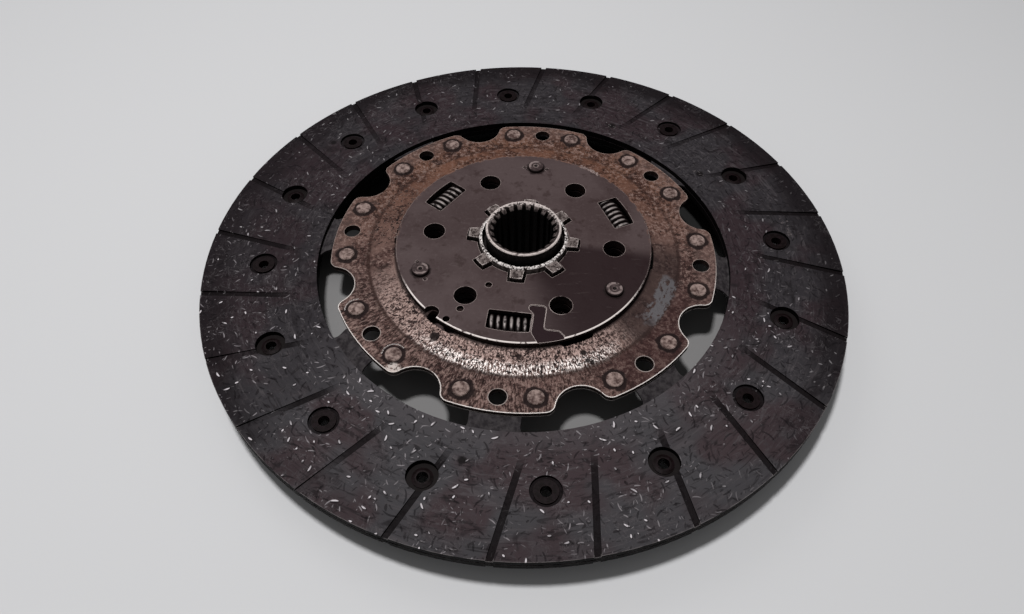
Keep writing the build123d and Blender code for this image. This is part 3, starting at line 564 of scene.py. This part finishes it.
def bolt_paint():
    """A riveted end: a rubbed rim, a smaller ring inside it, a dark dimple in the middle and painted shade
    round it.
    """
    p = Paint("spacer_bolt_steel")
    fine = p.noise(0.9, 4.0, 0.65)
    base = p.mix(p.step(fine, 0.35, 0.65), *BOLT_STEEL)
    away = p.seat_distance(BOLT_PHASE, BOLT_PITCH, BOLT_CIRCLE_R)
    ring = p.both(p.band(away, 1.9, 2.8, 0.12), p.step(p.noise(0.35, 3.0), 0.44, 0.56))
    base = p.coat(base, BOLT_RING, ring, 0.7)
    inner = p.both(p.band(away, 0.75, 1.15, 0.1), p.step(p.noise(0.5, 3.0), 0.40, 0.55))
    base = p.coat(base, BOLT_INNER_RING, inner, 0.75)
    base = p.coat(base, BOLT_DIMPLE, p.step(away, 0.75, 0.55), 0.95)
    # painted shade round the head and on its sides
    outer = p.either(p.step(away, 2.85, 3.05), p.upright(0.6, 0.4))
    base = p.coat(base, BOLT_SIDE_SHADE, outer, 0.9)
    p.set(base, rough=0.55, metal=0.05, bump=fine, depth=0.10, specular=0.15)
    return p.material


def segment_paint():
    """Grey sheet, with painted shade under the facings, where it shows through their holes."""
    p = Paint("segment_steel")
    fine = p.noise(0.5, 4.0, 0.65)
    base = p.mix(p.step(fine, 0.35, 0.65), *SEGMENT_STEEL)
    # painted shade under the facings
    base = p.coat(base, SEGMENT_SHADE, p.step(p.radius, 84.0, 88.0), 0.95)
    p.set(base, rough=0.7, bump=fine, depth=0.10, specular=0.12)
    return p.material


# --- cover and rear plate -------------------------------------------------------------------------------
COVER_STEEL = (0.049, 0.031, 0.031), (0.071, 0.049, 0.049)
COVER_GRAIN, COVER_STAIN, COVER_RIGHT_SHADE = (0.090, 0.066, 0.065), (0.026, 0.013, 0.012), (0.0125, 0.004, 0.005)
COVER_SCRATCH, COVER_SUNK = (0.12, 0.095, 0.09), (0.012, 0.003, 0.005)
COVER_EDGE, COVER_STEP_HIGHLIGHT, COVER_RIM_HIGHLIGHT = (0.42, 0.34, 0.32), (0.60, 0.51, 0.48), (0.95, 0.86, 0.82)
COVER_WALL_SHADE, COVER_BOLT_SHADOW_AND_DIRT, COVER_RUST = (0.005, 0.002, 0.002), (0.008, 0.003, 0.003), (0.19, 0.095, 0.065)


def cover_paint():
    p = Paint("cover_plate_steel")
    wide = p.noise(0.04, 3.0, 0.55)
    fine = p.noise(0.7, 4.0, 0.65)
    base = p.mix(p.step(wide, 0.35, 0.65), *COVER_STEEL)
    base = p.coat(base, COVER_GRAIN, p.step(fine, 0.5, 0.72), 0.4)
    base = p.coat(base, COVER_STAIN, p.step(p.noise(0.22, 4.0, 0.65), 0.54, 0.68), 0.6)
    # painted shade on the right
    right_shade = p.both(p.step(p.angle, -98.0, -60.0), p.step(p.angle, -3.0, -12.0))
    base = p.coat(base, COVER_RIGHT_SHADE, right_shade, 0.90)
    scratch = p.noise(0.5, 4.0, 0.7, 0.3, p.stretched(0.25, 2.2))
    base = p.coat(base, COVER_SCRATCH, p.step(scratch, 0.62, 0.70), 0.3)
    # the sunk patch
    top_side = p.step(p.up(), 0.3, 0.6)
    sunk = p.both(top_side, p.band(p.z, COVER_TOP - 0.55, COVER_TOP - 0.25, 0.05))
    base = p.coat(base, COVER_SUNK, sunk, 0.95)
    # worn edges, with painted highlights on the front rim and on the sunk patch's edges
    rim_highlight = p.both(
        p.step(p.radius, COVER_R - 0.6, COVER_R - 0.3),
        p.step(p.z, COVER_TOP - 0.36, COVER_TOP - 0.2),
        p.step(p.add(p.angle, p.noise(0.2), 10.0), -152.0, -140.0),
        p.step(p.angle, -20.0, -45.0),
        p.step(p.noise(0.6, 3.0), 0.34, 0.44),
    )
    worn = p.both(p.edges(0.40, 0.01, 0.12), p.step(p.noise(0.3), 0.34, 0.46))
    base = p.coat(base, COVER_EDGE, worn, 0.8)
    step_highlight = p.both(
        p.edges(0.35, 0.01, 0.10),
        p.band(p.angle, -92.0, -68.0, 1.0),
        p.step(p.radius, 29.0, 30.0),
    )
    base = p.coat(base, COVER_STEP_HIGHLIGHT, step_highlight, 0.9)
    base = p.coat(base, COVER_RIM_HIGHLIGHT, rim_highlight, 0.95)
    # painted shade on the walls
    shaded_walls = p.both(p.upright(), p.step(p.z, COVER_TOP - 0.3, COVER_TOP - 0.5))
    base = p.coat(base, COVER_WALL_SHADE, shaded_walls, 0.9)
    # dirt and painted shadow round the bolts, and rust at the back rim
    away = p.sway(p.seat_distance(BOLT_PHASE, BOLT_PITCH, BOLT_CIRCLE_R), p.noise(0.6, 4.0), 2.6)
    base = p.coat(base, COVER_BOLT_SHADOW_AND_DIRT, p.step(away, 4.3, 3.4), 0.9)
    rusty = p.both(
        p.step(p.radius, COVER_R - 1.2, COVER_R - 0.2),
        p.step(p.noise(0.35, 4.0), 0.47, 0.60),
        p.step(p.y, -10.0, 15.0),
    )
    base = p.coat(base, COVER_RUST, rusty, 0.8)
    rough = p.blend(p.step(fine, 0.3, 0.7), 0.62, 0.50)
    p.set(base, rough=rough, metal=0.05, bump=fine, depth=0.07, specular=0.15)
    return p.material


# --- hub ------------------------------------------------------------------------------------------------
HUB_STEEL = (0.028, 0.018, 0.017), (0.190, 0.155, 0.146)
HUB_SPLINE_TOP, HUB_BORE_SHADE, HUB_WALL_SHADE = (0.026, 0.018, 0.018), (0.002, 0.001, 0.001), (0.003, 0.0015, 0.0015)
HUB_SIDE_SHADE, LIP_GAP = (0.008, 0.004, 0.004), (0.012, 0.007, 0.006)
HUB_WORN_AND_GLINT, HUB_LIP = (0.70, 0.61, 0.58), (1.0, 0.93, 0.90)


def hub_paint():
    p = Paint("hub_steel")
    fine = p.noise(0.9, 4.0, 0.65)
    base = p.mix(p.step(fine, 0.35, 0.65), *HUB_STEEL)
    ragged = p.step(p.noise(0.9, 4.0, 0.7), 0.38, 0.50)
    # the collar: dark ends of the spline, a worn crest, and painted shade inside it and in the groove round
    # it
    top = p.step(p.z, COLLAR_TOP - 0.6, COLLAR_TOP - 0.25)
    base = p.coat(base, HUB_SPLINE_TOP, p.both(top, p.step(p.radius, 13.3, 13.0)), 0.9)
    crest = p.both(top, p.step(p.radius, 13.1, 13.4), p.step(p.noise(0.6, 3.0), 0.30, 0.42))
    shaded_wall = p.both(p.band(p.radius, 13.75, 15.7, 0.12), p.step(p.z, COLLAR_TOP - 0.4, COLLAR_TOP - 0.8))
    base = p.coat(base, HUB_WALL_SHADE, shaded_wall, 0.97)
    inside = p.both(p.step(p.radius, 13.0, 12.7), p.step(p.z, COLLAR_TOP - 0.5, COLLAR_TOP - 2.2))
    base = p.coat(base, HUB_BORE_SHADE, inside, 0.98)
    # the crown's lip, chipped all round, and worn edges
    low = p.step(p.z, LIP_TOP - 6.0, LIP_TOP - 4.0)
    outside = p.step(p.radius, 12.9, 13.2)
    worn = p.both(p.edges(0.5, 0.01, 0.10), ragged, low, outside, p.invert(shaded_wall))
    crown = p.both(p.band(p.radius, 15.4, 16.7, 0.1), p.step(p.z, LIP_TOP - 0.9, LIP_TOP - 0.4))
    chipped = p.step(p.noise(0.9, 4.0, 0.75), 0.475, 0.505)
    lip = p.both(crown, chipped)
    base = p.coat(base, LIP_GAP, crown, p.invert(chipped), 0.9)
    # painted glints on the collar's top at the far side, in the worn tone
    far_glint = p.both(top, p.step(p.y, 0.0, 8.0), p.step(p.noise(0.9, 4.0, 0.7), 0.45, 0.51))
    bright = p.either(worn, lip, crest, p.both(far_glint, 0.95))
    base = p.coat(base, p.mix(lip, HUB_WORN_AND_GLINT, HUB_LIP), bright, 0.95)
    # painted shade on the walls under the lip
    sides = p.both(p.upright(), p.step(p.radius, 16.6, 17.0), p.step(p.z, LIP_TOP - 1.1, LIP_TOP - 1.6))
    base = p.coat(base, HUB_SIDE_SHADE, sides, 0.9)
    height = p.add(fine, ragged, 0.5)
    rough = p.blend(bright, 0.60, 0.42)
    p.set(base, rough=rough, metal=p.both(bright, 0.3), bump=height, depth=0.18, specular=0.15)
    return p.material


# --- smaller pieces -------------------------------------------------------------------------------------
SPRING_SHADE, SPRING_CROWN_HIGHLIGHT = (0.006, 0.003, 0.003), (0.27, 0.235, 0.225)


def spring_paint():
    """Wire in painted shade, with painted highlights on the crowns where the coils face the window."""
    p = Paint("spring_wire")
    fine = p.noise(0.7, 3.0)
    crown = p.both(p.step(p.z, COVER_TOP - 3.2, COVER_TOP - 1.0), p.step(p.up(), 0.78, 0.95))
    base = p.mix(p.both(crown, p.step(fine, 0.30, 0.55)), SPRING_SHADE, SPRING_CROWN_HIGHLIGHT)
    rough = p.blend(fine, 0.40, 0.55)
    p.set(base, rough=rough, metal=p.both(crown, 0.2), bump=fine, depth=0.03, specular=0.2)
    return p.material


# dark tone, light tone, the tone of rubbed edges, and their width in millimetres
RUBBED = {
    "facing_rivet_copper": ((0.003, 0.001, 0.001), (0.008, 0.004, 0.005), (0.024, 0.014, 0.014), 0.3),
    "segment_rivet_steel": ((0.056, 0.030, 0.026), (0.290, 0.212, 0.190), (0.62, 0.52, 0.48), 0.4),
    "inner_steel": ((0.006, 0.003, 0.003), (0.016, 0.010, 0.010), (0.06, 0.04, 0.04), 0.3),
    "moulded_ring": ((0.018, 0.015, 0.013), (0.032, 0.027, 0.024), (0.05, 0.045, 0.04), 0.3),
    "rust_scale": ((0.070, 0.038, 0.032), (0.210, 0.140, 0.120), (0.45, 0.37, 0.34), 0.2),
    "pale_crust": ((0.150, 0.100, 0.092), (0.300, 0.230, 0.215), (0.45, 0.38, 0.36), 0.2),
    "hub_burr": ((0.140, 0.112, 0.105), (0.560, 0.500, 0.480), (0.80, 0.74, 0.71), 0.2),
    "facing_crumb": ((0.030, 0.024, 0.025), (0.110, 0.095, 0.098), (0.15, 0.13, 0.13), 0.2),
}
RIVET_HEAD_GRAIN = 0.55         # cycles a millimetre
LUMP_GRAIN = 1.4


def rubbed_paint(name, scale=0.8, shine=0.15):
    """Dull metal in two tones, rubbed on its edges."""
    dark, light, bare, edge = RUBBED[name]
    p = Paint(name)
    fine = p.noise(scale, 4.0, 0.65)
    base = p.mix(p.step(fine, 0.35, 0.65), dark, light)
    worn = p.both(p.edges(edge), p.step(p.noise(0.6), 0.38, 0.50))
    base = p.coat(base, bare, worn, 0.8)
    p.set(base, rough=p.blend(worn, 0.55, 0.4125), metal=0.05, bump=fine, depth=0.08, specular=shine)
    return p.material


# --- rust, burrs and crumbs -----------------------------------------------------------------------------
SCRAPE_STEPS = 16
SCRAPE_LUMP = 0.28
SCRAPES = [                     # radius and angle of the middle, reach, start and end of the arc, and seed
    (66.3, -131.0, 4.1, 40.0, 175.0, 25),
    (66.3, -152.5, 4.3, 95.0, 190.0, 26),
]


def lumps(name, body, material, places, seed):
    """Rough lumps in one mesh. Each place is (radius, angle, height, size) in millimetres and degrees."""
    chance = Random(seed)
    shape = bmesh.new()
    for radius, angle, height, size in places:
        made = bmesh.ops.create_icosphere(shape, subdivisions=2, radius=1.0)
        centre = Vector((radius * cos(radians(angle)), radius * sin(radians(angle)), height))
        long = size * chance.uniform(0.8, 1.6)
        wide = size * chance.uniform(0.6, 1.0)
        tall = size * chance.uniform(0.4, 0.8)
        turn = Matrix.Rotation(chance.uniform(0, 2 * pi), 3, "Z")
        for vertex in made["verts"]:
            ragged = vertex.co * chance.uniform(0.65, 1.15)
            local = turn @ Vector((ragged.x * long, ragged.y * wide, ragged.z * tall))
            vertex.co = (centre + local) * MM
    mesh = bpy.data.meshes.new(name)
    shape.to_mesh(mesh)
    shape.free()
    piece = bpy.data.objects.new(name, mesh)
    bpy.context.scene.collection.objects.link(piece)
    mesh.materials.append(material)
    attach(piece, body)


def scattered(count, radii, angles, height, sizes, seed):
    """Places for lumps, spread by chance over a stretch of ring."""
    chance = Random(seed)
    places = []
    for _ in range(count):
        places.append((chance.uniform(*radii), chance.uniform(*angles), height, chance.uniform(*sizes)))
    return places


def around(radius, angle, reach, start, end):
    """Places for a row of lumps on an arc about a point of the drive plate."""
    x, y = radius * cos(radians(angle)), radius * sin(radians(angle))
    places = []
    for k in range(SCRAPE_STEPS + 1):
        turn = radians(start + (end - start) * k / SCRAPE_STEPS)
        spot_x, spot_y = x + reach * cos(turn), y + reach * sin(turn)
        places.append((hypot(spot_x, spot_y), degrees(atan2(spot_y, spot_x)), PLATE_TOP, SCRAPE_LUMP))
    return places


def tooth_burrs():
    """A burr near the tip of each of the hub's teeth, at its middle or to one side."""
    places = []
    for k in range(HUB_TEETH):
        angle = TOOTH_BURR_PHASE + HUB_TOOTH_PITCH * k + 4.0 * ((k * 5) % 3 - 1)
        places.append((20.2 - 0.3 * (k % 2), angle, LIP_TOP - 0.85, 0.3))
    return places


def roughen():
    scale = rubbed_paint("rust_scale", LUMP_GRAIN)
    pale = rubbed_paint("pale_crust", LUMP_GRAIN)
    burr = rubbed_paint("hub_burr", LUMP_GRAIN)
    dust = rubbed_paint("facing_crumb", LUMP_GRAIN)
    lump = scattered(60, (46.9, 48.1), (51.0, 61.0), COVER_TOP - 0.05, (0.2, 0.5), 11)
    lumps("rust_lump", "disc", pale, lump, 12)
    crust = scattered(150, (COVER_R - 0.1, COVER_R + 1.0), (12.0, 178.0), COVER_TOP - 1.5, (0.15, 0.45), 13)
    lumps("rust_under_rim", "disc", scale, crust, 14)
    crown = scattered(110, (15.7, 16.5), (-180.0, 180.0), LIP_TOP - 0.05, (0.15, 0.40), 17)
    lumps("crown_burrs", "hub", burr, crown + tooth_burrs(), 18)
    collar = scattered(70, (12.9, 13.9), (25.0, 155.0), COLLAR_TOP - 0.1, (0.15, 0.38), 19)
    lumps("collar_burrs", "hub", burr, collar, 20)
    crumbs = scattered(14, (103.2, 105.6), (6.0, 11.5), FACE_TOP, (0.25, 0.6), 21)
    crumbs += scattered(8, (84.8, 87.0), (30.5, 34.0), FACE_TOP, (0.2, 0.5), 22)
    crumbs += scattered(8, (84.4, 87.0), (62.0, 65.5), FACE_TOP, (0.2, 0.5), 23)
    lumps("facing_crumbs", "disc", dust, crumbs, 24)
    for index, (*arc, seed) in enumerate(SCRAPES, 1):
        lumps("scrape_%d" % index, "disc", burr, around(*arc), seed)


# --- the CAD nodes --------------------------------------------------------------------------------------
def coil_springs():
    """The springs shorten as the hub turns; here a copy of each, riding with the disc, stands for its hidden
    node and is not shortened.
    """
    for index in range(1, SPRING_COUNT + 1):
        node = "damper_spring_%d" % index
        coil = bpy.data.objects.new("spring_coil_%d" % index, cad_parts[node].data.copy())
        bpy.context.scene.collection.objects.link(coil)
        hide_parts(node)
        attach(coil, "disc")
        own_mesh(coil)


def give(node, material):
    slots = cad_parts[node].material_slots
    for item in slots:
        item.material = material
    if not slots:
        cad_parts[node].data.materials.append(material)


def paint_nodes():
    rivet = rubbed_paint("facing_rivet_copper", shine=0.08)
    inner = rubbed_paint("inner_steel")
    moulded = rubbed_paint("moulded_ring")
    lining = facing_paint()
    cover = cover_paint()
    sheet = segment_paint()
    spring = spring_paint()
    wanted = {
        "facing_upper": lining,
        "facing_lower": lining,
        "facing_rivets_upper": rivet,
        "facing_rivets_lower": rivet,
        "segment_rivets": rubbed_paint("segment_rivet_steel", RIVET_HEAD_GRAIN),
        "drive_plate": plate_paint(),
        "cover_plate": cover,
        "rear_plate": cover,
        "hub": hub_paint(),
        "hub_flange": inner,
        "spacer_bolts": bolt_paint(),
        "friction_washer_upper": moulded,
        "friction_washer_lower": moulded,
        "spring_washer": inner,
        "guide_bush": moulded,
    }
    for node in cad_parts:
        if node.startswith("cushion_segment"):
            give(node, sheet)
        elif node.startswith("damper_spring"):
            give(node, spring)
        else:
            give(node, wanted[node])


bpy.context.scene.view_settings.view_transform = "Standard"
make_camera()
make_stage()
for light in LIGHTS:
    make_light(*light)
paint_nodes()
coil_springs()
roughen()
